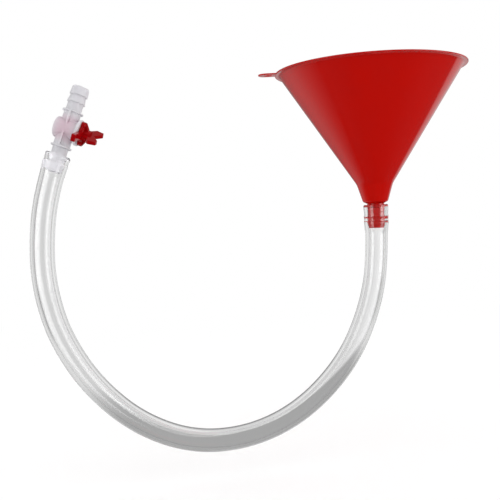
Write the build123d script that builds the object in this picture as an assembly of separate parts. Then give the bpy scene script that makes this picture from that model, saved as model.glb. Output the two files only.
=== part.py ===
from build123d import *
from math import cos, pi, radians, sin, sqrt, tan
import os

# A pouring set: a funnel, a clear hose and a barbed quarter-turn valve on the hose's far end.
# Millimetres and degrees. +Z is the funnel's axis, upwards, and the hose hangs in the XZ plane.
# The origin is on that axis, at the foot of the funnel's shoulder, where the spout begins.

os.makedirs("parts", exist_ok=True)

# ---------------------------------------------------------------- funnel, driving dimensions
funnel_wall = 1.6
rim_radius = 78.7            # outside of the cone at its top
cone_half_angle = 33.0
cone_foot_radius = 15.4      # outside, where the steeper lower cone begins
cone_foot_blend = 14.0       # radius of the bend between the two cones
lower_cone_height = 15.2
shoulder_radius = 10.7       # outside of the lower cone at its foot
shoulder_rise = 1.5
shoulder_round = 2.4
lip_overhang = 2.6
lip_thickness = 1.35
lip_round = 0.6
lip_root_round = 1.2
throat_slope = 0.5           # fall of the inside towards the spout's bore
spout_radius = 7.2
spout_bore_radius = 5.5
spout_length = 20.9
spout_chamfer = 0.8
spout_barb_height = 0.65
spout_barb_ramp = 3.2
spout_barb_land = 0.5
spout_barb_places = (5.6, 9.6)   # crests, from the spout's tip
spout_collar_drop = 1.2          # the collar's top below the shoulder
spout_collar_width = 1.7
spout_collar_slope = 0.3
tab_azimuth = 169.0          # the hang tab's direction, from +X
tab_reach = 14.2             # past the lip
tab_width = 13.0
tab_thickness = 1.2
tab_round = 0.36
tab_hole_radius = 3.3
tab_hole_inset = 8.4         # from the tab's tip

# ---------------------------------------------------------------- hose, driving dimensions
hose_bore_radius = 6.35
hose_wall = 3.175
hose_top_gap = 1.0           # between the shoulder's foot and the hose's upper end
hose_grip = 0.05             # how far the barbs bite into the stretched hose
hose_lift = 1.2              # length over which the stretched hose rises to the next barb
hose_taper = 5.0             # past the barbs, until the hose is back to size
# The hose's route as (x, y, z) corners, between its fixed end runs.
hose_route = [
    (-10.0, 0.0, -92.0),
    (-33.0, 0.0, -136.0),
    (-72.5, 0.0, -172.0),
    (-118.5, 0.0, -190.0),
    (-167.5, 0.0, -189.5),
    (-212.0, -0.3, -169.0),
    (-246.5, -1.0, -135.0),
    (-268.5, -1.8, -96.5),
    (-278.2, -2.2, -62.0),
    (-280.7, -2.0, -26.0),
]
hose_first_run = 21.1        # straight, from where the spout no longer stretches it
hose_last_run = 12.9         # the same below the valve
run_share = 0.45             # of a run that a bend's arc may use
end_run_share = 0.98         # the same on the first and last runs

# ---------------------------------------------------------------- valve, driving dimensions
valve_centre = (-254.7, 1.0, 70.7)
valve_lean = 21.8            # flow axis from +Z towards +X
valve_tilt = 2.5             # flow axis towards +Y
barrel_turn = 15.0           # stem axis about the flow axis, towards -Y
rest_turn = 68.0             # how far the handle stands from fully open
full_turn = 90.0             # from open to shut

body_half_length = 35.2
body_bore_radius = 4.4
tip_radius = 6.7
tip_chamfer = 0.9
barb_crest_radius = 7.2
barb_root_radius = 6.2
barb_ramp = 4.8
barb_land = 0.6
barb_places = (6.7, 13.0)    # crests, from the spigot's tip
collar_radius = 8.3
collar_from_centre = 14.0
collar_width = 1.4
collar_slope = 0.4
neck_radius = 6.7
hose_end_from_centre = 21.4  # how near the hose is pushed to the valve

barrel_radius = 8.3
barrel_wall = 1.7
barrel_closed_end = 9.45
barrel_open_end = 8.6
barrel_round = 1.6
web_thickness = 1.4
web_inset = 0.2              # inside the barrel's outline

ball_radius = 6.2
ball_port_radius = 3.9
ball_clearance = 0.05
seat_radius = 5.85
seat_bore_radius = 4.0
seat_depth = 7.3             # the pocket's floor, from the valve's centre
seat_height = 3.2
fit_clearance = 0.05
ring_clearance = 0.02        # between an O-ring and its groove or bore

slot_width = 2.0
slot_depth = 1.7
stem_radius = 2.5
stem_collar_radius = 4.1
stem_collar_width = 1.0
stem_square = 3.5
stem_square_length = 5.6
stem_square_chamfer = 0.4
tang_width = 7.4
stem_ring_radius = 0.42      # section of a stem O-ring
stem_ring_places = (0.95, 2.3)   # from the bonnet's inner shoulder
washer_thickness = 0.5

bonnet_radius = 10.4
bonnet_thickness = 2.3
bonnet_round = 0.5
bonnet_plug_length = 2.4
bonnet_pocket_depth = 1.65
bonnet_ring_radius = 0.55    # section of the bonnet's O-ring
peg_radius = 0.9
peg_place_radius = 4.5
peg_height = 1.0
peg_slot_play = 0.15

handle_gap = 0.15
base_thickness = 3.4
hub_radius = 6.6
side_lobe_reach = 9.7
lobe_width = 6.6
lever_reach = 21.3
lever_width = 5.8
lever_corner = 1.0
blade_turn = 13.0            # the blade's direction, from the lever's towards -Y
blade_thickness = 3.0
wing_top = 16.4              # the blade's tips above the handle's seat
wing_half_width = 10.9
wing_tip_outer = 9.5
wing_tip_inner = 6.8
wing_tip_slope = 0.6         # fall of a tip from its inner corner to its outer one
waist_half_width = 7.0
blade_foot_half_width = 7.6
waist_height = 6.4
wing_shoulder_height = 9.9
notch_height = 11.2
boss_radius = 3.6
boss_height = 8.6
fin_height = 7.2
fin_shoulder_height = 6.0
fin_thickness = 3.2
soft_edge = 0.6

# ---------------------------------------------------------------- making allowances
overlap = 0.5                # how far one solid runs into another that it joins
cut_past = 1.0               # how far a cutting solid runs past the face that it opens
barb_back = 0.05             # length of a barb's steep side

# ---------------------------------------------------------------- sizes that follow
hose_radius = hose_bore_radius + hose_wall
hose_wall_section = hose_radius**2 - hose_bore_radius**2
spout_grip_length = spout_length - hose_top_gap
spigot_grip_length = body_half_length - hose_end_from_centre
cavity_radius = barrel_radius - barrel_wall
spout_crest_radius = spout_radius + spout_barb_height
cone_foot_height = shoulder_rise + lower_cone_height
rim_height = cone_foot_height + (rim_radius - cone_foot_radius) / tan(radians(cone_half_angle))
lip_radius = rim_radius + lip_overhang
stem_collar_start = ball_radius + ball_clearance
bonnet_inner_face = barrel_open_end - bonnet_plug_length
bonnet_shoulder = bonnet_inner_face + bonnet_pocket_depth
bonnet_face = barrel_open_end + bonnet_thickness
handle_seat = bonnet_face + handle_gap


def flow_direction():
    lean, tilt = radians(valve_lean), radians(valve_tilt)
    return Vector(sin(lean) * cos(tilt), sin(tilt), cos(lean) * cos(tilt))


def stem_direction():
    """Square to the flow, turned towards -Y by barrel_turn."""
    flow = flow_direction()
    level = Vector(0, 1, 0).cross(flow).normalized()
    turn = radians(barrel_turn)
    return (level * cos(turn) + level.cross(flow) * sin(turn)).normalized()


# The valve's own frame: X along the stem to the handle, Z along the flow to the free spigot.
valve_frame = Plane(origin=valve_centre, x_dir=stem_direction(), z_dir=flow_direction()).location


def turned(points):
    """A solid of revolution about Z from (radius, height) corners."""
    outline = make_face(Polyline(*[(r, 0, z) for r, z in points], close=True))
    return revolve(outline, Axis.Z)


def turned_x(points):
    """A solid of revolution about X from (height, radius) corners."""
    outline = make_face(Polyline(*[(x, r, 0) for x, r in points], close=True))
    return revolve(outline, Axis.X)


def along_x(radius, start, end):
    return Pos((start + end) / 2, 0, 0) * Rot(0, 90, 0) * Cylinder(radius, end - start)


def barbs(places, crest, root, ramp, land):
    """(radius, distance from the tip) corners of a row of barbs, from the tip inwards."""
    corners = []
    for place in places:
        start = max(place - ramp, corners[-1][1] + barb_back if corners else 0.0)
        corners += [(root, start), (crest, place - land / 2), (crest, place + land / 2)]
        corners += [(root, place + land / 2 + barb_back)]
    return corners


# ---------------------------------------------------------------- funnel
def inset(before, corner, after, wall):
    """The corner of an outline moved inwards by the wall, square to both of its runs."""
    a = (corner - before).normalized()
    b = (after - corner).normalized()
    normal_a, normal_b = Vector(-a.Y, a.X), Vector(-b.Y, b.X)
    middle = (normal_a + normal_b).normalized()
    return corner + middle * (wall / middle.dot(normal_a))


def funnel_outside():
    """(radius, height) corners of the cone's outside, from the spout upwards."""
    return [
        Vector(spout_radius, 0),
        Vector(shoulder_radius, shoulder_rise),
        Vector(cone_foot_radius, cone_foot_height),
        Vector(rim_radius, rim_height),
    ]


def funnel_inside():
    """(radius, height) corners of the inside, from the spout's bore upwards."""
    neck, shoulder, foot, rim = funnel_outside()
    low = inset(neck, shoulder, foot, funnel_wall)
    middle = inset(shoulder, foot, rim, funnel_wall)
    top = Vector(rim_radius - funnel_wall / cos(radians(cone_half_angle)), rim_height)
    return [Vector(spout_bore_radius, low.Y - (low.X - spout_bore_radius) * throat_slope), low, middle, top]


def blended(points, closing, radii):
    """A revolved solid whose outline follows points, rounded at some of them, then closing."""
    path = Polyline(*[(p.X, 0, p.Y) for p in points])
    for corner, radius in radii:
        near = [v for v in path.vertices() if (Vector(v) - Vector(corner.X, 0, corner.Y)).length < 1e-6]
        path = fillet(near, radius)
    rest = Polyline(*[(p.X, 0, p.Y) for p in [points[-1], *closing, points[0]]])
    return revolve(make_face([*path.edges(), *rest.edges()]), Axis.Z)


def rim_outside():
    """(radius, height) corners of the lip, from its root under the rim to the top."""
    under = rim_height - lip_thickness
    root = rim_radius - lip_thickness * tan(radians(cone_half_angle))
    return [Vector(root, under), Vector(lip_radius, under), Vector(lip_radius, rim_height)]


def make_funnel():
    cone = funnel_outside()[:-1]
    lip = rim_outside()
    rounds = [(cone[1], shoulder_round), (cone[2], cone_foot_blend), (lip[0], lip_root_round)]
    rounds += [(lip[1], lip_round), (lip[2], lip_round)]
    outer = blended([*cone, *lip, Vector(0, rim_height)], [Vector(0, 0)], rounds)
    inside = funnel_inside()
    throat = inside[0].Y
    hollow = blended(inside, [Vector(0, rim_height), Vector(0, throat)], [(inside[2], cone_foot_blend)])
    spout = turned(spout_outline())
    bore = Pos(0, 0, (throat - spout_length) / 2) * Cylinder(spout_bore_radius, throat + spout_length)
    return outer + hang_tab() + spout - hollow - bore - hang_hole()


def spout_outline():
    tip = -spout_length
    collar_top = -spout_collar_drop
    corners = [(0, tip), (spout_radius - spout_chamfer, tip)]
    row = barbs(spout_barb_places, spout_crest_radius, spout_radius, spout_barb_ramp, spout_barb_land)
    corners += [(r, tip + z) for r, z in row]
    corners += [
        (spout_radius, collar_top - spout_collar_width - spout_barb_height),
        (spout_crest_radius, collar_top - spout_collar_width),
        (spout_crest_radius, collar_top),
        (spout_radius, collar_top + spout_collar_slope),
        (spout_radius, overlap),
        (0, overlap),
    ]
    return corners


def tab_centre():
    return lip_radius + tab_reach - tab_width / 2


def hang_tab():
    """A flat eye on the lip, with a round end."""
    strap = Pos((rim_radius + tab_centre()) / 2, 0) * Rectangle(tab_centre() - rim_radius, tab_width)
    plate = extrude(strap + Pos(tab_centre(), 0) * Circle(tab_width / 2), tab_thickness)
    plate = fillet(plate.edges().filter_by(GeomType.CIRCLE), tab_round)
    lift = rim_height - tab_thickness
    return Rot(0, 0, tab_azimuth) * Pos(0, 0, lift) * plate


def hang_hole():
    place = lip_radius + tab_reach - tab_hole_inset
    middle = rim_height - tab_thickness / 2
    hole = Pos(place, 0, middle) * Cylinder(tab_hole_radius, tab_thickness + 2 * cut_past)
    return Rot(0, 0, tab_azimuth) * hole


# ---------------------------------------------------------------- hose
def upper_end():
    """Where the hose's upper end meets the spout, looking down the hose."""
    return Plane(origin=(0, 0, -hose_top_gap), x_dir=(1, 0, 0), z_dir=(0, 0, -1))


def lower_end():
    """Where its lower end meets the valve, looking back up the hose."""
    flow = flow_direction()
    end = Vector(*valve_centre) - flow * hose_end_from_centre
    return Plane(origin=end, x_dir=stem_direction(), z_dir=-flow)


def hose_points():
    """The corners of the hose's route between its two stretched ends."""
    leaves_spout = spout_grip_length + hose_taper
    leaves_valve = spigot_grip_length + hose_taper
    return [
        upper_end().offset(leaves_spout).origin,
        upper_end().offset(leaves_spout + hose_first_run).origin,
        *[Vector(*p) for p in hose_route],
        lower_end().offset(leaves_valve + hose_last_run).origin,
        lower_end().offset(leaves_valve).origin,
    ]


def bend_radii(points):
    """The largest arc at each corner that its two runs allow, and the turn there."""
    runs = [(b - a).length for a, b in zip(points, points[1:])]
    reach = [run_share * run for run in runs]
    reach[0] = end_run_share * runs[0]
    reach[-1] = end_run_share * runs[-1]
    radii = []
    for i, corner in enumerate(points[1:-1]):
        turn = (corner - points[i]).get_angle(points[i + 2] - corner)
        radii.append(min(reach[i], reach[i + 1]) / tan(radians(turn) / 2))
    return radii


def stretched_end(crests, crest_radius, root_radius, tip, end_radius):
    """A hose end pushed over a row of crests, along +Z from the end.

    It follows each barb's ramp down and rises to the next crest. The wall keeps its
    section, so it thins where the bore is stretched.
    """
    tight = crest_radius - hose_grip
    slack = max(root_radius, hose_bore_radius)
    bore = [(tight, 0), (tight, crests[0])]
    for place in crests[1:]:
        bore += [(slack, place - hose_lift), (tight, place)]
    bore += [(end_radius - hose_grip, tip), (hose_bore_radius, tip + hose_taper)]
    wall = [(sqrt(hose_wall_section + r**2), z) for r, z in bore]
    return turned([*bore, *reversed(wall)])


def make_hose():
    points = hose_points()
    radii = bend_radii(points)
    print("hose bends, radius in mm:", [round(r) for r in radii])
    spout_crests = [spout_collar_drop + spout_collar_width - hose_top_gap]
    spout_crests += [spout_grip_length - place for place in reversed(spout_barb_places)]
    spigot_crests = [spigot_grip_length - place for place in reversed(barb_places)]
    top = stretched_end(spout_crests, spout_crest_radius, spout_radius, spout_grip_length, spout_radius)
    low = stretched_end(
        spigot_crests, barb_crest_radius, barb_root_radius, spigot_grip_length, tip_radius
    )
    path = FilletPolyline(*points, radius=radii)
    start = Plane(origin=points[0], x_dir=(1, 0, 0), z_dir=(0, 0, -1))
    ring = Circle(hose_radius) - Circle(hose_bore_radius)
    tube = sweep(start * ring, path=path)
    ends_length = spout_grip_length + spigot_grip_length + 2 * hose_taper
    print("hose length:", round(path.length + ends_length, 1),
          "tube volume:", round(tube.volume),
          "section x length:", round(pi * hose_wall_section * path.length))
    return tube + upper_end().location * top + lower_end().location * low


# ---------------------------------------------------------------- valve body
def spigot_outline():
    """(radius, height) corners of one barbed spigot, from the valve's centre outwards."""
    row = barbs(barb_places, barb_crest_radius, barb_root_radius, barb_ramp, barb_land)
    from_centre = [(r, body_half_length - z) for r, z in reversed(row[1:])]
    collar_end = collar_from_centre + collar_width
    return [
        (0, 0),
        (neck_radius, 0),
        (neck_radius, collar_from_centre - collar_slope),
        (collar_radius, collar_from_centre),
        (collar_radius, collar_end - collar_slope),
        (barb_root_radius, collar_end),
        *from_centre,
        (tip_radius, body_half_length - tip_chamfer),
        (tip_radius - tip_chamfer, body_half_length),
        (0, body_half_length),
    ]


def make_valve_body():
    spigot = turned(spigot_outline())
    barrel = along_x(barrel_radius, -barrel_closed_end, barrel_open_end)
    barrel = fillet(barrel.edges().filter_by(GeomType.CIRCLE).sort_by(Axis.X)[0], barrel_round)
    web_span = 2 * (barrel_radius - web_inset)
    web_reach = 2 * (collar_from_centre + collar_width / 2)
    web = Box(web_thickness, web_span, web_reach)
    body = spigot + Rot(180, 0, 0) * spigot + barrel + web
    cavity = along_x(cavity_radius, -barrel_closed_end + barrel_wall, barrel_open_end + cut_past)
    pockets = Cylinder(seat_radius + fit_clearance, 2 * seat_depth)
    passage = Cylinder(body_bore_radius, 2 * (body_half_length + cut_past))
    return body - cavity - pockets - passage


# ---------------------------------------------------------------- ball and seals
def ball_turn():
    """The ball, stem and handle are drawn fully open, then set at the rest position."""
    return Rot(-rest_turn, 0, 0)


def make_ball():
    slot = Pos(ball_radius, 0, 0) * Box(2 * slot_depth, 2 * ball_radius, slot_width)
    return Sphere(ball_radius) - Cylinder(ball_port_radius, 3 * ball_radius) - slot


def make_seat(side):
    top = seat_depth - fit_clearance
    ring = Pos(0, 0, top - seat_height / 2) * (
        Cylinder(seat_radius, seat_height) - Cylinder(seat_bore_radius, 2 * seat_height)
    )
    ring -= Sphere(ball_radius + ball_clearance)
    return ring if side > 0 else Rot(180, 0, 0) * ring


def make_stem():
    """Tang, thrust collar, sealed shank and square drive, along X."""
    collar_end = stem_collar_start + stem_collar_width
    square_end = handle_seat + stem_square_length
    groove = stem_radius - 2 * stem_ring_radius
    corners = [(stem_collar_start, 0), (stem_collar_start, stem_collar_radius)]
    corners += [(collar_end, stem_collar_radius), (collar_end, stem_radius)]
    for place in stem_ring_places:
        middle = bonnet_shoulder + place
        half = stem_ring_radius + fit_clearance
        corners += [(middle - half, stem_radius), (middle - half, groove)]
        corners += [(middle + half, groove), (middle + half, stem_radius)]
    corners += [(bonnet_face, stem_radius), (bonnet_face, 0)]
    shank = turned_x(corners)
    tang_length = slot_depth - 2 * ball_clearance
    tang = Pos(stem_collar_start - tang_length / 2, 0, 0) * Box(
        tang_length, tang_width, slot_width - 2 * fit_clearance
    )
    tang &= along_x(stem_collar_radius, 0, stem_collar_start)
    square_start = handle_seat - handle_gap
    square = Pos((square_start + square_end) / 2, 0, 0) * Box(
        square_end - square_start, stem_square, stem_square
    )
    square = chamfer(square.faces().sort_by(Axis.X)[-1].edges(), stem_square_chamfer)
    return shank + tang + square


def stem_ring(place):
    middle = bonnet_shoulder + place
    radius = stem_radius - stem_ring_radius + ring_clearance
    return Pos(middle, 0, 0) * Rot(0, 90, 0) * Torus(radius, stem_ring_radius)


def make_washer():
    end = bonnet_shoulder - fit_clearance / 2
    outer = stem_collar_radius
    ring = along_x(outer, end - washer_thickness, end)
    return ring - along_x(stem_radius + fit_clearance, 0, end + cut_past)


# ---------------------------------------------------------------- bonnet
def bonnet_groove():
    """(start, end, floor radius) of the groove for the bonnet's O-ring."""
    middle = bonnet_inner_face + bonnet_plug_length / 2
    half = bonnet_ring_radius + fit_clearance
    floor = cavity_radius - 2 * bonnet_ring_radius - 2 * ring_clearance
    return middle - half, middle + half, floor


def make_bonnet():
    start, end, floor = bonnet_groove()
    plug = cavity_radius - fit_clearance
    disc = along_x(bonnet_radius, barrel_open_end, bonnet_face)
    disc = fillet(disc.edges().filter_by(GeomType.CIRCLE), bonnet_round)
    root = barrel_open_end + overlap
    neck = turned_x([
        (bonnet_inner_face, 0), (bonnet_inner_face, plug), (start, plug), (start, floor),
        (end, floor), (end, plug), (root, plug), (root, 0),
    ])
    inner_end = bonnet_inner_face - cut_past
    pocket = along_x(stem_collar_radius + 2 * fit_clearance, inner_end, bonnet_shoulder)
    bore = along_x(stem_radius + fit_clearance, inner_end, bonnet_face + cut_past)
    peg = along_x(peg_radius, bonnet_face - overlap, bonnet_face + peg_height)
    peg = Rot(peg_angle(), 0, 0) * Pos(0, 0, peg_place_radius) * peg
    return disc + neck + peg - pocket - bore


def bonnet_ring():
    start, end, floor = bonnet_groove()
    radius = (cavity_radius + floor) / 2
    return Pos((start + end) / 2, 0, 0) * Rot(0, 90, 0) * Torus(radius, bonnet_ring_radius)


def peg_angle():
    """The stop peg stands on the side of the barrel away from the free spigot."""
    return 180 - full_turn / 2


# ---------------------------------------------------------------- handle
def lobe(direction):
    """A round-ended arm of the handle's base, from its axis."""
    straight = side_lobe_reach - lobe_width / 2
    arm = Pos(straight / 2, 0) * Rectangle(straight, lobe_width)
    arm += Pos(straight, 0) * Circle(lobe_width / 2)
    return Rot(0, 0, direction) * arm


def lever():
    """The long arm with a square end, which shows where the ball's port points."""
    arm = Pos(0, -lever_reach / 2) * Rectangle(lever_width, lever_reach)
    return fillet(arm.vertices().sort_by(Axis.Y)[:2], lever_corner)


def handle_base():
    """The hub, the lever and three lobes, standing on the seat."""
    plan = Circle(hub_radius) + lever() + lobe(0) + lobe(90) + lobe(180)
    base = extrude(Plane.YZ * plan, base_thickness)
    return fillet(base.faces().sort_by(Axis.X)[-1].edges(), soft_edge)


def handle_blade():
    """The butterfly grip, whose two wings stand out along the stem's axis."""
    half = [
        (0, notch_height),
        (wing_tip_inner, wing_top),
        (wing_tip_outer, wing_top - wing_tip_slope),
        (wing_half_width, wing_shoulder_height),
        (waist_half_width, waist_height),
        (blade_foot_half_width, overlap),
        (0, overlap),
    ]
    right = make_face(Polyline(*half, close=True))
    outline = right + mirror(right, Plane.YZ)
    corners = [v for v in outline.vertices() if v.Y > waist_height - overlap and abs(v.X) > overlap]
    outline = fillet(corners, soft_edge)
    return Rot(blade_turn, 0, 0) * extrude(Plane.ZX * outline, blade_thickness / 2, both=True)


def side_fins():
    """A web on each side lobe that runs up to the blade."""
    outline = make_face(Polyline(
        (overlap, 0),
        (overlap, side_lobe_reach - lobe_width / 4),
        (base_thickness, side_lobe_reach - soft_edge),
        (fin_shoulder_height, side_lobe_reach / 2),
        (fin_height, boss_radius / 2),
        (fin_height, 0),
        close=True,
    ))
    fin = extrude(outline, fin_thickness / 2, both=True)
    return fin + mirror(fin, Plane.XZ)


def make_handle():
    boss = along_x(boss_radius, 0, boss_height)
    solid = handle_base() + handle_blade() + side_fins() + boss
    socket_depth = stem_square_length + fit_clearance
    side = stem_square + 2 * fit_clearance
    socket = Pos((socket_depth - cut_past) / 2, 0, 0) * Box(socket_depth + cut_past, side, side)
    solid -= socket + stop_slot()
    return Pos(handle_seat, 0, 0) * solid


def stop_slot():
    """The curved slot that lets the bonnet's peg pass through a quarter turn and no more."""
    width = 2 * (peg_radius + peg_slot_play)
    track = CenterArc((0, 0), peg_place_radius, 90 + peg_angle(), full_turn)
    slot = extrude(SlotArc(track, width), peg_height + peg_slot_play + cut_past)
    return Pos(-cut_past, 0, 0) * Plane.YZ.location * slot


# ---------------------------------------------------------------- build
def build():
    turn = ball_turn()
    fixed = {
        "valve_body": make_valve_body(),
        "seat_inlet": make_seat(-1),
        "seat_outlet": make_seat(1),
        "bonnet": make_bonnet(),
        "bonnet_o_ring": bonnet_ring(),
        "thrust_washer": make_washer(),
    }
    rotor = {
        "ball": make_ball(),
        "stem": make_stem(),
        "stem_o_ring_inner": stem_ring(stem_ring_places[0]),
        "stem_o_ring_outer": stem_ring(stem_ring_places[1]),
        "handle": make_handle(),
    }
    parts = {"funnel": make_funnel(), "hose": make_hose()}
    parts.update({name: valve_frame * solid for name, solid in fixed.items()})
    parts.update({name: valve_frame * turn * solid for name, solid in rotor.items()})
    return parts


for name, solid in build().items():
    export_step(solid, f"parts/{name}.step")
    print(name, "volume", round(solid.volume, 1))
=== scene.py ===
import math

import bpy
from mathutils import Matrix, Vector


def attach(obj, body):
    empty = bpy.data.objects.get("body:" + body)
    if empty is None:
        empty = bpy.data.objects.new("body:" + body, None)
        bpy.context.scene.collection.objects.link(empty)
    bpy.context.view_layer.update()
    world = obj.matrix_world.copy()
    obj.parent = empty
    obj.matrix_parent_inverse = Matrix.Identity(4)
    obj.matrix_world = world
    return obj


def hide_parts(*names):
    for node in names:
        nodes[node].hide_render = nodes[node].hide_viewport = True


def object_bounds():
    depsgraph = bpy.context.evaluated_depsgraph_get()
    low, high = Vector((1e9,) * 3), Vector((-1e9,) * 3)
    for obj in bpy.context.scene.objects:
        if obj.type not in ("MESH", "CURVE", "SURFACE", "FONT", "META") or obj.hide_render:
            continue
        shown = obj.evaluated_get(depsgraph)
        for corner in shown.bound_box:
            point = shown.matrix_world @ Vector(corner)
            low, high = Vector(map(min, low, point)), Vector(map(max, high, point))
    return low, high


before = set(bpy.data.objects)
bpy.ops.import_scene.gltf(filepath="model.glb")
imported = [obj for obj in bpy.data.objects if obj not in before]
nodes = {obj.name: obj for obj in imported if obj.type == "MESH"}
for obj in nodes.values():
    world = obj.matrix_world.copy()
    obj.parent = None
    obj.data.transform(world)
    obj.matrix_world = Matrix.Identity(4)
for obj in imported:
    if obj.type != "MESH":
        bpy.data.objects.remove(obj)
cadBox = [list(corner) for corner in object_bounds()]
mm = 0.001
print("frame loaded,", len(nodes), "nodes")

# Camera, level with the spout and a little to its left.
cameraSetup = {
    "place": (-0.24958, -0.62512, -0.00064),  # metres
    "turn": (87.079, 3.0, -12.498),  # degrees about X, Y and Z
    "lens": 55.43,  # mm
    "sensor": 36.0,  # mm
    "nearest": 0.01,  # metres
    "farthest": 50.0,
}

cameraData = bpy.data.cameras.new("camera")
cameraData.lens = cameraSetup["lens"]
cameraData.sensor_width = cameraSetup["sensor"]
cameraData.clip_start = cameraSetup["nearest"]
cameraData.clip_end = cameraSetup["farthest"]
camera = bpy.data.objects.new("camera", cameraData)
camera.location = cameraSetup["place"]
camera.rotation_euler = [math.radians(a) for a in cameraSetup["turn"]]
bpy.context.collection.objects.link(camera)
bpy.context.scene.camera = camera
print("camera set")

# Clear hose. Its route runs from inside the spout's end to inside the valve's end.
hoseRoute = [  # metres
    (0.0, 0.0, -0.001),
    (0.0, 0.0, -0.047),
    (-0.010, 0.0, -0.092),
    (-0.033, 0.0, -0.136),
    (-0.0725, 0.0, -0.172),
    (-0.1185, 0.0, -0.190),
    (-0.1675, 0.0, -0.1895),
    (-0.212, -0.0003, -0.169),
    (-0.2465, -0.0010, -0.135),
    (-0.2685, -0.0018, -0.0965),
    (-0.2782, -0.0022, -0.062),
    (-0.2807, -0.0020, -0.026),
    (-0.27440, -0.00132, 0.02144),
    (-0.26264, 0.00007, 0.05085),
]
hose = {
    "bore": 6.35,  # radius in mm, as are the sizes below
    "wall": 3.175,
    "corners": 64,  # round the hose
    "steps": 48,  # spline points for each corner of the route
    "edge": 0.8,  # the cut ends are broken by this much
    "sharp": 40.0,  # degrees, from which an edge is drawn sharp
    "length": 0.582,  # metres
    "spout": [  # the stretched bore: distance from the upper end, radius
        (0.0, 7.8), (1.9, 7.8), (9.0, 7.3), (10.3, 7.8),
        (13.1, 7.3), (14.3, 7.8), (19.9, 7.15), (24.9, 6.35),
    ],
    "valve": [  # the same from the lower end
        (0.0, 7.15), (0.8, 7.15), (5.7, 6.4), (7.1, 7.15), (13.8, 6.65), (18.8, 6.35),
    ],
}


def routeLine(route, steps):
    # The points of the NURBS spline that the route's corners steer.
    curve = bpy.data.curves.new("routeCurve", "CURVE")
    curve.dimensions = "3D"
    spline = curve.splines.new("NURBS")
    spline.points.add(len(route) - 1)
    for point, corner in zip(spline.points, route):
        point.co = (*corner, 1.0)
    spline.order_u = 3
    spline.use_endpoint_u = True
    spline.resolution_u = steps
    holder = bpy.data.objects.new("routeCurve", curve)
    bpy.context.collection.objects.link(holder)
    bpy.context.view_layer.update()
    mesh = bpy.data.meshes.new_from_object(holder)
    line = [v.co.copy() for v in mesh.vertices]
    bpy.data.objects.remove(holder)
    bpy.data.meshes.remove(mesh)
    if (line[0] - Vector(route[0])).length > (line[-1] - Vector(route[0])).length:
        line.reverse()
    return line


def stretchedBore(fromEnd, stops):
    # The bore's radius in mm at a distance from an end that is pushed over barbs.
    for (a, ra), (b, rb) in zip(stops, stops[1:]):
        if fromEnd <= b:
            part = (fromEnd - a) / (b - a)
            return ra + (rb - ra) * part * part * (3 - 2 * part)
    return hose["bore"]


def makeHose(line):
    # A hollow tube round the line. The wall keeps its section, so it thins where the bore is stretched.
    section = (hose["bore"] + hose["wall"]) ** 2 - hose["bore"] ** 2
    along = [0.0]
    for a, b in zip(line, line[1:]):
        along.append(along[-1] + (b - a).length / mm)
    total = along[-1]
    side = Vector((0.0, 1.0, 0.0))
    rows = []  # centre, side, up, tangent, inner radius, outer radius, distance
    for i, (centre, s) in enumerate(zip(line, along)):
        tangent = (line[min(i + 1, len(line) - 1)] - line[max(i - 1, 0)]).normalized()
        side = (side - tangent * side.dot(tangent)).normalized()
        inner = max(stretchedBore(s, hose["spout"]), stretchedBore(total - s, hose["valve"]))
        outer = math.sqrt(section + inner ** 2)
        rows.append((centre, side, tangent.cross(side), tangent, inner, outer, s))
    verts, around = [], []
    count = hose["corners"]

    def ring(row, radius, shift=0.0):
        centre, across, up, tangent, _, _, s = row
        start = len(verts)
        for k in range(count):
            angle = 2 * math.pi * k / count
            spoke = across * math.cos(angle) + up * math.sin(angle)
            verts.append(centre + (tangent * shift + spoke * radius) * mm)
            around.append((math.cos(angle), math.sin(angle), s * mm))
        return start

    edge = hose["edge"]
    first, last = rows[0], rows[-1]
    loops = [ring(first, first[5] - edge), ring(first, first[5], edge)]
    loops += [ring(row, row[5]) for row in rows[1:-1]]
    loops += [ring(last, last[5], -edge), ring(last, last[5] - edge)]
    loops += [ring(row, row[4]) for row in reversed(rows)]
    faces = []
    for a, b in zip(loops, loops[1:] + loops[:1]):
        for k in range(count):
            n = (k + 1) % count
            faces.append((a + k, a + n, b + n, b + k))
    mesh = bpy.data.meshes.new("clearHose")
    mesh.from_pydata(verts, [], faces)
    layer = mesh.attributes.new("around", "FLOAT_VECTOR", "POINT")  # steers the extrusion lines
    for item, value in zip(layer.data, around):
        item.vector = value
    mesh.validate()
    mesh.update()
    for polygon in mesh.polygons:
        polygon.use_smooth = True
    mesh.set_sharp_from_angle(angle=math.radians(hose["sharp"]))
    return mesh


hoseLine = routeLine(hoseRoute, hose["steps"])
clearHose = bpy.data.objects.new("clearHose", makeHose(hoseLine))
bpy.context.collection.objects.link(clearHose)
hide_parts("hose")
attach(clearHose, "funnel_and_hose")
print("hose made")


def linear(hexText):
    # sRGB hex to a linear colour
    parts = [int(hexText[i:i + 2], 16) / 255 for i in (1, 3, 5)]
    return (*[p / 12.92 if p <= 0.04045 else ((p + 0.055) / 1.055) ** 2.4 for p in parts], 1.0)


def addNode(tree, kind, settings=None, links=None):
    # Adds a node. Settings are its properties or the values of its inputs, and links feed its inputs.
    node = tree.nodes.new(kind)
    for key, value in (settings or {}).items():
        if isinstance(key, str) and key in node.bl_rna.properties:
            setattr(node, key, value)
        else:
            node.inputs[key].default_value = value
    for key, source in (links or {}).items():
        tree.links.new(source, node.inputs[key])
    return node


def newMaterial(name):
    material = bpy.data.materials.new(name)
    material.use_nodes = True
    material.node_tree.nodes.clear()
    return material, material.node_tree


def finishMaterial(tree, shader):
    addNode(tree, "ShaderNodeOutputMaterial", links={"Surface": shader.outputs[0]})


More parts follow.
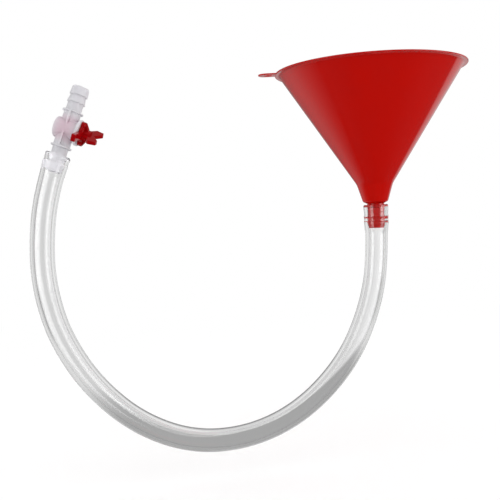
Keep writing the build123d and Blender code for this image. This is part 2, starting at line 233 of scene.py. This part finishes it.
# Polypropylene with a red pigment, moulded in a polished tool: a deep colour under a clean gloss.
funnelRed = {
    "colour": "#B80901",
    "streak": "#B10701",  # the colour of a flow mark
    "spout": "#9E0905",  # painted shade: a deeper red for the spout, so that it renders as dark as it looks inside the hose
    "spoutShadeFrom": (0.0, -2.0),  # mm, height over which the wall turns to that painted shade
    "roughness": 0.11,
    "roughnessSpread": 0.03,
    "ior": 1.49,
    "flow": 16.0,  # mm across a flow mark, which runs out from the gate at the spout
    "flowStretch": 0.25,  # the marks are four times as long as wide
    "peel": 1.1,  # mm, orange peel, drawn coarser than the real 0.4 mm so that it shows
    "peelDepth": 0.004,  # mm
}


def mouldedPolypropylene():
    material, tree = newMaterial("moulded red polypropylene")
    place = addNode(tree, "ShaderNodeTexCoord")
    stretch = addNode(tree, "ShaderNodeMapping", {"Scale": (1.0, 1.0, funnelRed["flowStretch"])},
                      {"Vector": place.outputs["Object"]})
    flow = addNode(tree, "ShaderNodeTexNoise", {"Scale": 1000 / funnelRed["flow"], "Detail": 2.0},
                   {"Vector": stretch.outputs[0]})
    colour = addNode(tree, "ShaderNodeMix",
                     {"data_type": "RGBA", 6: linear(funnelRed["colour"]),
                      7: linear(funnelRed["streak"])}, {0: flow.outputs["Fac"]})
    height = addNode(tree, "ShaderNodeSeparateXYZ", links={0: place.outputs["Object"]})
    # Painted shade: below the throat the deeper spout red is mixed in.
    spoutShadeMask = addNode(tree, "ShaderNodeMapRange",
                   {"From Min": funnelRed["spoutShadeFrom"][0] * mm,
                    "From Max": funnelRed["spoutShadeFrom"][1] * mm}, {"Value": height.outputs["Z"]})
    spoutShaded = addNode(tree, "ShaderNodeMix", {"data_type": "RGBA", 7: linear(funnelRed["spout"])},
                   {0: spoutShadeMask.outputs[0], 6: colour.outputs[2]})
    gloss = addNode(tree, "ShaderNodeMapRange",
                    {"To Min": funnelRed["roughness"] - funnelRed["roughnessSpread"],
                     "To Max": funnelRed["roughness"] + funnelRed["roughnessSpread"]},
                    {"Value": flow.outputs["Fac"]})
    peel = addNode(tree, "ShaderNodeTexNoise", {"Scale": 1000 / funnelRed["peel"], "Detail": 1.0},
                   {"Vector": place.outputs["Object"]})
    bump = addNode(tree, "ShaderNodeBump", {"Strength": 1.0, "Distance": funnelRed["peelDepth"] * mm},
                   {"Height": peel.outputs["Fac"]})
    shader = addNode(tree, "ShaderNodeBsdfPrincipled", {"IOR": funnelRed["ior"]},
                     {"Base Color": spoutShaded.outputs[2], "Roughness": gloss.outputs[0],
                      "Normal": bump.outputs[0]})
    finishMaterial(tree, shader)
    return material


# Plasticised PVC, extruded: glassy, with faint die lines that run along it.
hoseVinyl = {
    "colour": "#FEFEFE",
    "roughness": 0.0,
    "roughnessSpread": 0.06,
    "ior": 1.53,
    "lines": 2.2,  # mm across a die line
    "lineLength": 90.0,  # mm along it
    "lineDepth": 0.02,  # mm
}


def extrudedVinyl():
    material, tree = newMaterial("extruded clear vinyl")
    place = addNode(tree, "ShaderNodeAttribute", {"attribute_name": "around"})
    wide = (hose["bore"] + hose["wall"]) / hoseVinyl["lines"]
    spread = addNode(tree, "ShaderNodeMapping", {"Scale": (wide, wide, 1000 / hoseVinyl["lineLength"])},
                     {"Vector": place.outputs["Vector"]})
    lines = addNode(tree, "ShaderNodeTexNoise", {"Scale": 1.0, "Detail": 2.0},
                    {"Vector": spread.outputs[0]})
    gloss = addNode(tree, "ShaderNodeMapRange",
                    {"To Min": hoseVinyl["roughness"],
                     "To Max": hoseVinyl["roughness"] + hoseVinyl["roughnessSpread"]},
                    {"Value": lines.outputs["Fac"]})
    bump = addNode(tree, "ShaderNodeBump", {"Strength": 1.0, "Distance": hoseVinyl["lineDepth"] * mm},
                   {"Height": lines.outputs["Fac"]})
    shader = addNode(tree, "ShaderNodeBsdfPrincipled",
                     {"Base Color": linear(hoseVinyl["colour"]), "IOR": hoseVinyl["ior"],
                      "Transmission Weight": 1.0},
                     {"Roughness": gloss.outputs[0], "Normal": bump.outputs[0]})
    finishMaterial(tree, shader)
    return material


ballCorners = [nodes["ball"].matrix_world @ Vector(corner) for corner in nodes["ball"].bound_box]
ballMiddle = nodes["valve_body"].matrix_world.inverted() @ (sum(ballCorners, Vector()) / 8)

# Polypropylene without pigment, moulded: milky, so that light goes in and the red ball shows faintly.
# The pink glow of the ball's light through the wall is painted into the colour over it.
valveNatural = {
    "colour": "#DEDDE1",
    "ballGlow": "#DEC6D1",  # painted glow: the pink that the red ball's light gives the wall over it
    "ballGlowReach": (7.0, 15.0),  # mm from the ball's middle, over which that fades
    "roughness": 0.34,
    "roughnessSpread": 0.06,
    "ior": 1.49,
    "milk": 0.75,  # share of the light that goes under the skin
    "depth": 2.5,  # mm, how far it spreads there
    "clear": 0.2,  # share that goes straight through
    "cloud": 3.0,  # mm, cloudiness of the wall
    "skinDepth": 0.01,  # mm
}


def naturalPolypropylene():
    material, tree = newMaterial("moulded natural polypropylene")
    place = addNode(tree, "ShaderNodeTexCoord")
    # Painted glow of the red ball: pink near it, fading to the plain colour further off.
    fromBall = addNode(tree, "ShaderNodeVectorMath", {"operation": "DISTANCE", 1: ballMiddle},
                       {0: place.outputs["Object"]})
    ballGlowFade = addNode(tree, "ShaderNodeMapRange",
                   {"interpolation_type": "SMOOTHSTEP",
                    "From Min": valveNatural["ballGlowReach"][0] * mm,
                    "From Max": valveNatural["ballGlowReach"][1] * mm},
                   {"Value": fromBall.outputs["Value"]})
    colour = addNode(tree, "ShaderNodeMix",
                     {"data_type": "RGBA", 6: linear(valveNatural["ballGlow"]),
                      7: linear(valveNatural["colour"])}, {0: ballGlowFade.outputs[0]})
    cloud = addNode(tree, "ShaderNodeTexNoise", {"Scale": 1000 / valveNatural["cloud"], "Detail": 2.0},
                    {"Vector": place.outputs["Object"]})
    gloss = addNode(tree, "ShaderNodeMapRange",
                    {"To Min": valveNatural["roughness"] - valveNatural["roughnessSpread"],
                     "To Max": valveNatural["roughness"] + valveNatural["roughnessSpread"]},
                    {"Value": cloud.outputs["Fac"]})
    bump = addNode(tree, "ShaderNodeBump", {"Strength": 1.0, "Distance": valveNatural["skinDepth"] * mm},
                   {"Height": cloud.outputs["Fac"]})
    shader = addNode(tree, "ShaderNodeBsdfPrincipled",
                     {"IOR": valveNatural["ior"], "Transmission Weight": valveNatural["clear"],
                      "Subsurface Weight": valveNatural["milk"], "Subsurface Radius": (1.0, 1.0, 1.0),
                      "Subsurface Scale": valveNatural["depth"] * mm},
                     {"Base Color": colour.outputs[2], "Roughness": gloss.outputs[0],
                      "Normal": bump.outputs[0]})
    finishMaterial(tree, shader)
    return material


# Acetal with a red pigment, moulded: hard and glossy, with a fine grain from the tool.
handleRed = {
    "colour": "#930307",
    "roughness": 0.08,
    "roughnessSpread": 0.03,
    "ior": 1.44,
    "grain": 0.6,  # mm, drawn coarser than the real 0.1 mm so that it shows
    "grainDepth": 0.006,  # mm
}


def mouldedAcetal():
    material, tree = newMaterial("moulded red acetal")
    place = addNode(tree, "ShaderNodeTexCoord")
    grain = addNode(tree, "ShaderNodeTexNoise", {"Scale": 1000 / handleRed["grain"], "Detail": 2.0},
                    {"Vector": place.outputs["Object"]})
    gloss = addNode(tree, "ShaderNodeMapRange",
                    {"To Min": handleRed["roughness"] - handleRed["roughnessSpread"],
                     "To Max": handleRed["roughness"] + handleRed["roughnessSpread"]},
                    {"Value": grain.outputs["Fac"]})
    bump = addNode(tree, "ShaderNodeBump", {"Strength": 1.0, "Distance": handleRed["grainDepth"] * mm},
                   {"Height": grain.outputs["Fac"]})
    shader = addNode(tree, "ShaderNodeBsdfPrincipled",
                     {"Base Color": linear(handleRed["colour"]), "IOR": handleRed["ior"]},
                     {"Roughness": gloss.outputs[0], "Normal": bump.outputs[0]})
    finishMaterial(tree, shader)
    return material


# PTFE, turned from rod: waxy white, with fine turning marks.
sealWhite = {
    "colour": "#E9E8E4",
    "roughness": 0.42,
    "ior": 1.38,
    "milk": 0.1,
    "depth": 1.0,  # mm
    "marks": 0.25,  # mm between turning marks
    "marksDepth": 0.01,  # mm
}


def turnedPtfe():
    material, tree = newMaterial("turned white PTFE")
    place = addNode(tree, "ShaderNodeTexCoord")
    marks = addNode(tree, "ShaderNodeTexNoise", {"Scale": 1000 / sealWhite["marks"], "Detail": 1.0},
                    {"Vector": place.outputs["Object"]})
    bump = addNode(tree, "ShaderNodeBump", {"Strength": 1.0, "Distance": sealWhite["marksDepth"] * mm},
                   {"Height": marks.outputs["Fac"]})
    shader = addNode(tree, "ShaderNodeBsdfPrincipled",
                     {"Base Color": linear(sealWhite["colour"]), "IOR": sealWhite["ior"],
                      "Roughness": sealWhite["roughness"], "Subsurface Weight": sealWhite["milk"],
                      "Subsurface Radius": (1.0, 1.0, 1.0), "Subsurface Scale": sealWhite["depth"] * mm},
                     {"Normal": bump.outputs[0]})
    finishMaterial(tree, shader)
    return material


# Nitrile rubber, moulded: black and satin, dulled in places by bloom.
ringBlack = {
    "colour": "#1C1C1D",
    "roughness": 0.4,
    "bloomRoughness": 0.6,
    "ior": 1.52,
    "bloom": 1.5,  # mm, size of a dull patch
}


def mouldedNitrile():
    material, tree = newMaterial("moulded black nitrile")
    place = addNode(tree, "ShaderNodeTexCoord")
    bloom = addNode(tree, "ShaderNodeTexNoise", {"Scale": 1000 / ringBlack["bloom"], "Detail": 3.0},
                    {"Vector": place.outputs["Object"]})
    gloss = addNode(tree, "ShaderNodeMapRange",
                    {"To Min": ringBlack["roughness"], "To Max": ringBlack["bloomRoughness"]},
                    {"Value": bloom.outputs["Fac"]})
    shader = addNode(tree, "ShaderNodeBsdfPrincipled",
                     {"Base Color": linear(ringBlack["colour"]), "IOR": ringBlack["ior"]},
                     {"Roughness": gloss.outputs[0]})
    finishMaterial(tree, shader)
    return material


def dress(names, material):
    for name in names:
        piece = nodes[name]
        if not piece.material_slots:
            piece.data.materials.append(material)
        for slot in piece.material_slots:
            slot.material = material


clearHose.data.materials.append(extrudedVinyl())
dress(["funnel"], mouldedPolypropylene())
dress(["valve_body", "bonnet"], naturalPolypropylene())
dress(["ball", "stem", "handle"], mouldedAcetal())
dress(["seat_inlet", "seat_outlet", "thrust_washer"], turnedPtfe())
dress(["bonnet_o_ring", "stem_o_ring_inner", "stem_o_ring_outer"], mouldedNitrile())
print("materials made")

# Stage: a white sweep behind, a dark room in front, and a softbox on each side.
stage = {
    "floorDrop": 0.022,  # metres below the hose, which is held in the air
    "floorSize": 8.0,
    "floorColour": "#E6E6E6",
    "floorLift": 0.185,
    "shadowReach": (0.35, 1.1),  # metres from the middle, over which the floor goes plain white
    "floorShadowGrey": 0.44,  # painted shadow: what the clear hose shows of it behind the object, where the object's shadow falls
    "floorPale": 0.8,  # and beside it
    "floorPaleFrom": (0.14, 0.27),  # metres to the side
    "floorEdge": (0.36, 0.46),  # metres from the middle
    "level": 0.98,  # even light on the object, at which a colour shows about as written
    "levelInside": 2.5,  # for a piece inside the hose, because much of its light is lost on the way
    "ahead": (0.2164, 0.9763),  # the way to the middle of the sweep
    "sweepCentre": -0.12,  # radians from the middle
    "sweepWhite": 0.91,
    "sweepSide": 0.7,
    "sweepWhiteEnds": (0.8, 0.55),  # radians to each side of its centre, where white turns to grey
    "sweepDip": 0.16,  # a little darker straight behind the object
    "sweepDipEnds": (0.12, 0.3),
    "sweepEnd": (0.05, 0.35),  # cosine of the angle from the middle, from the room to the sweep
    "boxesThrough": (1.85, 2.45),  # radians from the middle, where the hose shows the two softboxes
    "boxLevel": 2.6,
    "boxEdge": 0.08,  # radians, half the width of their soft edges
    "roomThrough": 0.3,  # the room as the hose shows it
    "mirrorCounts": 2.0,  # crossings of a hose wall that a mirror reflection counts for
    "mirrorFrom": 4.5,  # crossings, more than the four that go straight through the hose
    "room": 0.03,  # what gloss shows in front of the object
    "roomSide": 0.09,
    "roomSideEnds": (-0.5, 0.0),  # cosine of the angle from the middle, from the one to the other
    "ceiling": 0.12,
    "ceilingEnds": (0.5, 0.9),  # sine of the elevation over which it comes in
    "leftEdge": (-1.72, -0.87),  # radians from the middle, the left field's soft edge
    "leftFall": (-0.87, -0.28),  # over which its level falls from the first to the second
    "leftPale": 0.58,
    "leftDim": 0.24,
    "rightPale": 0.66,
    "rightStart": (-0.1, 0.1),  # radians, where the right field takes over
    "rightEdgeLow": 0.86,  # radians, its harder edge, which opens out higher up
    "rightEdgeHigh": 1.35,
    "rightEdgeRise": (-0.30, -0.10),  # sine of the elevation over which it does
    "edgeWidth": 0.12,
    "fieldTop": (0.04, 0.2),  # sine of the elevation over which both pale fields end
}
middle = [(low + high) / 2 for low, high in zip(*cadBox)]
floorHeight = cadBox[0][2] - stage["floorDrop"]


def mirroredHose(tree, path):
    # 1 where the hose is seen in the gloss of another piece. The dark room shows there.
    crossings = addNode(tree, "ShaderNodeMath",
                        {"operation": "MULTIPLY_ADD", 1: stage["mirrorCounts"]},
                        {0: path.outputs["Glossy Depth"], 2: path.outputs["Transmission Depth"]})
    return addNode(tree, "ShaderNodeMath", {"operation": "GREATER_THAN", 1: stage["mirrorFrom"]},
                   {0: crossings.outputs[0]}).outputs[0]


def paleFloor():
    # Pale under the object, where it takes the shadow, and plain white further out.
    material, tree = newMaterial("pale floor")
    place = addNode(tree, "ShaderNodeTexCoord")
    away = addNode(tree, "ShaderNodeVectorMath", {"operation": "LENGTH"}, {0: place.outputs["Object"]})
    plain = addNode(tree, "ShaderNodeMapRange",
                    {"interpolation_type": "SMOOTHSTEP", "From Min": stage["shadowReach"][0],
                     "From Max": stage["shadowReach"][1]}, {"Value": away.outputs["Value"]})
    path = addNode(tree, "ShaderNodeLightPath")
    lit = addNode(tree, "ShaderNodeBsdfDiffuse", {"Color": linear(stage["floorColour"])})
    lift = addNode(tree, "ShaderNodeEmission", {"Strength": stage["floorLift"]})
    near = addNode(tree, "ShaderNodeAddShader", links={0: lit.outputs[0], 1: lift.outputs[0]})
    white = addNode(tree, "ShaderNodeEmission", {"Strength": 1.0})
    seen = addNode(tree, "ShaderNodeMixShader",
                   links={0: plain.outputs[0], 1: near.outputs[0], 2: white.outputs[0]})
    far = addNode(tree, "ShaderNodeMapRange",
                  {"From Min": stage["floorEdge"][0], "From Max": stage["floorEdge"][1]},
                  {"Value": away.outputs["Value"]})
    x, y = stage["ahead"]
    aside = addNode(tree, "ShaderNodeVectorMath", {"operation": "DOT_PRODUCT", 1: (y, -x, 0)},
                    {0: place.outputs["Object"]})
    offset = addNode(tree, "ShaderNodeMath", {"operation": "ABSOLUTE"}, {0: aside.outputs["Value"]})
    # Painted shadow: through the hose, the floor shows grey behind the object and pale beside it.
    shade = addNode(tree, "ShaderNodeMapRange",
                    {"interpolation_type": "SMOOTHSTEP", "From Min": stage["floorPaleFrom"][0],
                     "From Max": stage["floorPaleFrom"][1], "To Min": stage["floorShadowGrey"],
                     "To Max": stage["floorPale"]}, {"Value": offset.outputs[0]})
    shadowedFloor = addNode(tree, "ShaderNodeEmission", links={"Strength": shade.outputs[0]})
    gone = addNode(tree, "ShaderNodeMath", {"operation": "MAXIMUM"},
                   {0: far.outputs[0], 1: mirroredHose(tree, path)})
    beyond = addNode(tree, "ShaderNodeBsdfTransparent")
    through = addNode(tree, "ShaderNodeMixShader",
                      links={0: gone.outputs[0], 1: shadowedFloor.outputs[0], 2: beyond.outputs[0]})
    clear = addNode(tree, "ShaderNodeMixShader", links={
        0: path.outputs["Is Transmission Ray"], 1: lit.outputs[0], 2: through.outputs[0]})
    both = addNode(tree, "ShaderNodeMixShader", links={
        0: path.outputs["Is Camera Ray"], 1: clear.outputs[0], 2: seen.outputs[0]})
    finishMaterial(tree, both)
    return material


half = stage["floorSize"] / 2
floorMesh = bpy.data.meshes.new("floor")
floorMesh.from_pydata([(-half, -half, 0), (half, -half, 0), (half, half, 0), (-half, half, 0)], [],
                      [(0, 1, 2, 3)])
floor = bpy.data.objects.new("floor", floorMesh)
floor.location = (middle[0], middle[1], floorHeight)
floor.visible_glossy = False  # gloss shows the surroundings instead
floorMesh.materials.append(paleFloor())
bpy.context.collection.objects.link(floor)


def surroundings():
    # White to the camera. In gloss and through the hose there is the sweep, and the dark room in front.
    world = bpy.data.worlds.new("surroundings")
    bpy.context.scene.world = world
    world.use_nodes = True
    tree = world.node_tree
    tree.nodes.clear()
    path = addNode(tree, "ShaderNodeLightPath")
    way = addNode(tree, "ShaderNodeTexCoord").outputs["Generated"]
    x, y = stage["ahead"]
    ahead = addNode(tree, "ShaderNodeVectorMath", {"operation": "DOT_PRODUCT", 1: (x, y, 0)}, {0: way})
    aside = addNode(tree, "ShaderNodeVectorMath", {"operation": "DOT_PRODUCT", 1: (y, -x, 0)}, {0: way})
    turn = addNode(tree, "ShaderNodeMath", {"operation": "ARCTAN2"},
                   {0: aside.outputs["Value"], 1: ahead.outputs["Value"]})
    rise = addNode(tree, "ShaderNodeSeparateXYZ", links={0: way}).outputs["Z"]

    def blend(source, start, end, low, high):
        settings = {"interpolation_type": "SMOOTHSTEP", "From Min": start, "From Max": end,
                    "To Min": low, "To Max": high}
        return addNode(tree, "ShaderNodeMapRange", settings, {"Value": source}).outputs[0]

    def combine(operation, first, second):
        return addNode(tree, "ShaderNodeMath", {"operation": operation},
                       {0: first, 1: second}).outputs[0]

    # Through the hose: the sweep, white with grey sides.
    shifted = addNode(tree, "ShaderNodeMath", {"operation": "SUBTRACT", 1: stage["sweepCentre"]},
                      {0: turn.outputs[0]})
    offset = addNode(tree, "ShaderNodeMath", {"operation": "ABSOLUTE"}, {0: shifted.outputs[0]})
    white = blend(offset.outputs[0], *stage["sweepWhiteEnds"], stage["sweepSide"], stage["sweepWhite"])
    dip = blend(offset.outputs[0], *stage["sweepDipEnds"], stage["sweepDip"], 0.0)
    sweep = combine("SUBTRACT", white, dip)
    facing = ahead.outputs["Value"]
    behind = addNode(tree, "ShaderNodeMix", {"data_type": "FLOAT", 2: stage["roomThrough"]},
                     {0: blend(facing, *stage["sweepEnd"], 0.0, 1.0), 3: sweep})
    around = addNode(tree, "ShaderNodeMath", {"operation": "ABSOLUTE"}, {0: turn.outputs[0]}).outputs[0]
    (inner, outer), edge = stage["boxesThrough"], stage["boxEdge"]
    boxes = combine("MULTIPLY", blend(around, inner - edge, inner + edge, 0.0, stage["boxLevel"]),
                    blend(around, outer - edge, outer + edge, 1.0, 0.0))
    through = addNode(tree, "ShaderNodeMix", {"data_type": "FLOAT", 3: stage["room"]},
                      {0: mirroredHose(tree, path), 2: combine("ADD", behind.outputs[0], boxes)})
    # In gloss: a soft pale field on the left and a hard-edged one on the right.
    left = blend(turn.outputs[0], *stage["leftEdge"], 0.0, 1.0)
    limit = blend(rise, *stage["rightEdgeRise"], stage["rightEdgeLow"], stage["rightEdgeHigh"])
    past = combine("SUBTRACT", turn.outputs[0], limit)
    right = blend(past, -stage["edgeWidth"] / 2, stage["edgeWidth"] / 2, 1.0, 0.0)
    leftField = blend(turn.outputs[0], *stage["leftFall"], stage["leftPale"], stage["leftDim"])
    rightMore = blend(turn.outputs[0], *stage["rightStart"], 0.0, stage["rightPale"] - stage["leftDim"])
    fields = combine("ADD", leftField, rightMore)
    low = blend(rise, *stage["fieldTop"], 1.0, 0.0)
    sides = blend(facing, *stage["roomSideEnds"], stage["room"], stage["roomSide"])
    room = combine("ADD", sides, blend(rise, *stage["ceilingEnds"], 0.0, stage["ceiling"]))
    gloss = addNode(tree, "ShaderNodeMix", {"data_type": "FLOAT"},
                    {0: combine("MULTIPLY", combine("MULTIPLY", left, right), low), 2: room, 3: fields})
    shown = addNode(tree, "ShaderNodeMix", {"data_type": "FLOAT"},
                    {0: path.outputs["Is Transmission Ray"], 2: gloss.outputs[0], 3: through.outputs[0]})
    clean = combine("MAXIMUM", path.outputs["Is Glossy Ray"], path.outputs["Is Transmission Ray"])
    bare = addNode(tree, "ShaderNodeMath", {"operation": "LESS_THAN", 1: 0.5},
                   {0: path.outputs["Diffuse Depth"]})
    even = addNode(tree, "ShaderNodeMix",
                   {"data_type": "FLOAT", 2: stage["level"], 3: stage["levelInside"]},
                   {0: path.outputs["Is Transmission Ray"]})
    others = addNode(tree, "ShaderNodeMix", {"data_type": "FLOAT"},
                     {0: combine("MULTIPLY", clean, bare.outputs[0]), 2: even.outputs[0],
                      3: shown.outputs[0]})
    seen = addNode(tree, "ShaderNodeMix", {"data_type": "FLOAT", 3: 1.0},
                   {0: path.outputs["Is Camera Ray"], 2: others.outputs[0]})
    light = addNode(tree, "ShaderNodeBackground", {"Color": (1, 1, 1, 1)}, {"Strength": seen.outputs[0]})
    addNode(tree, "ShaderNodeOutputWorld", links={"Surface": light.outputs[0]})


surroundings()

lamps = {
    "target": (-0.1, 0.0, 0.0),  # metres
    "size": (1.5, 1.3),  # metres
    "boxes": {  # place in metres, power in watts
        "leftSoftbox": ((-1.85, -0.70, 0.25), 6.0),
        "rightSoftbox": ((1.45, -1.10, 0.25), 12.0),
    },
}
for name, (place, power) in lamps["boxes"].items():
    light = bpy.data.lights.new(name, "AREA")
    light.shape = "RECTANGLE"
    light.size, light.size_y = lamps["size"]
    light.energy = power
    holder = bpy.data.objects.new(name, light)
    holder.location = place
    aim = Vector(lamps["target"]) - Vector(place)
    holder.rotation_euler = aim.to_track_quat("-Z", "Y").to_euler()
    holder.visible_camera = False
    bpy.context.collection.objects.link(holder)
bpy.context.scene.view_settings.view_transform = "Standard"
print("floor, surroundings and lamps made")
